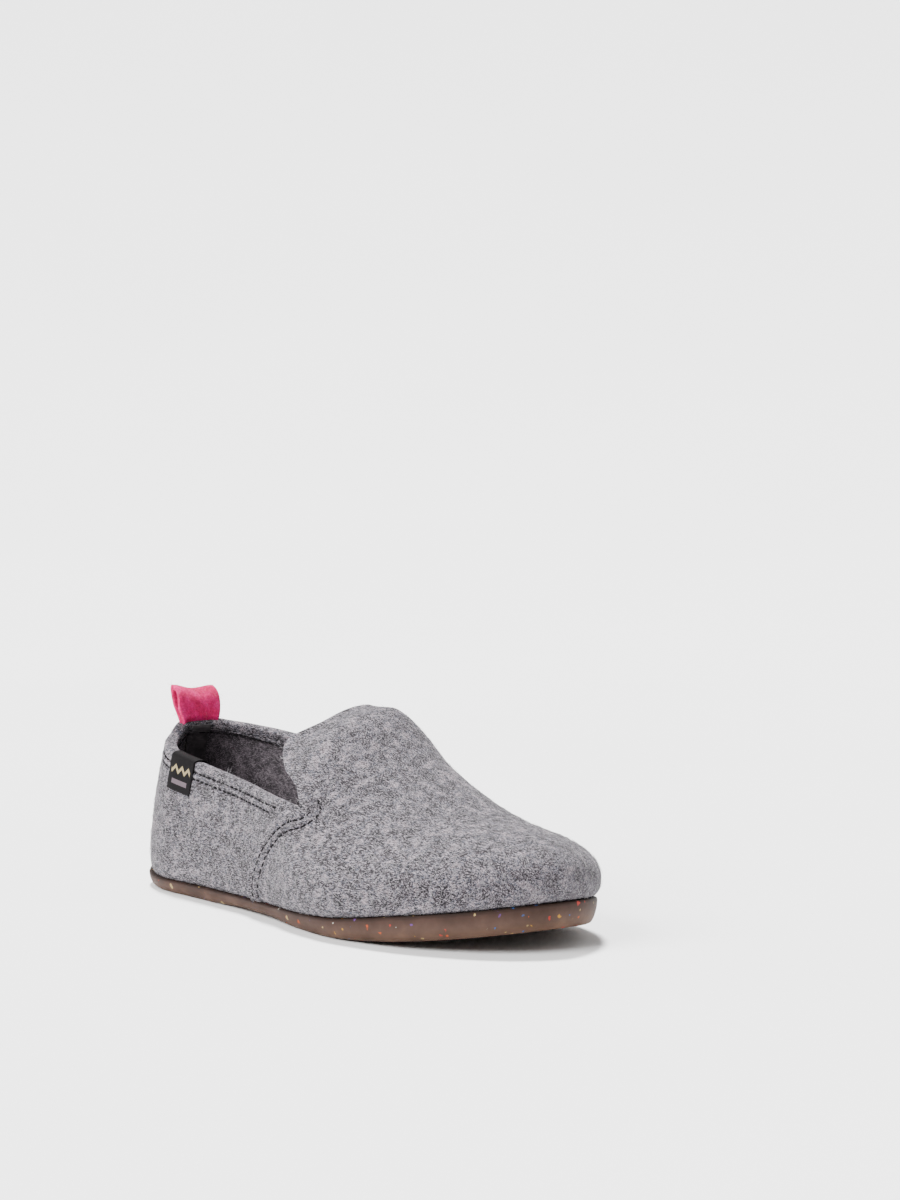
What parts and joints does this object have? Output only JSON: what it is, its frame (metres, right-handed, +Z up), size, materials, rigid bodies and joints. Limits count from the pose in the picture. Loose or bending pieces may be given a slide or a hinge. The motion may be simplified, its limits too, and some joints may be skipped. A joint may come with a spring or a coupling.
{
  "type": "felt slipper",
  "caption": "Closed-back felt house slipper for the right foot, with a high tongue lapped over low quarters, a heel pull loop, an edge label and a low speckled rubber sole.",
  "frame": {"origin": "middle of the bounding box in X and Y, at the floor under the sole", "axes": "+X to the toe, +Y to the inner (big toe) side, +Z up"},
  "size_m": [0.2592, 0.1032, 0.0834],
  "materials": {
    "smoky_rubber": "satin, slightly see-through, with coloured specks",
    "charcoal_felt": "pressed felt",
    "grey_felt": "mottled pressed felt, two greys",
    "pink_felt": "soft brushed felt strap",
    "black_weave": "fine satin weave"
  },
  "bodies": {
    "root": {"outsole": "smoky_rubber", "insole": "charcoal_felt", "upper": "grey_felt", "pull_loop": "pink_felt", "edge_label": "black_weave"}
  },
  "joints": []
}
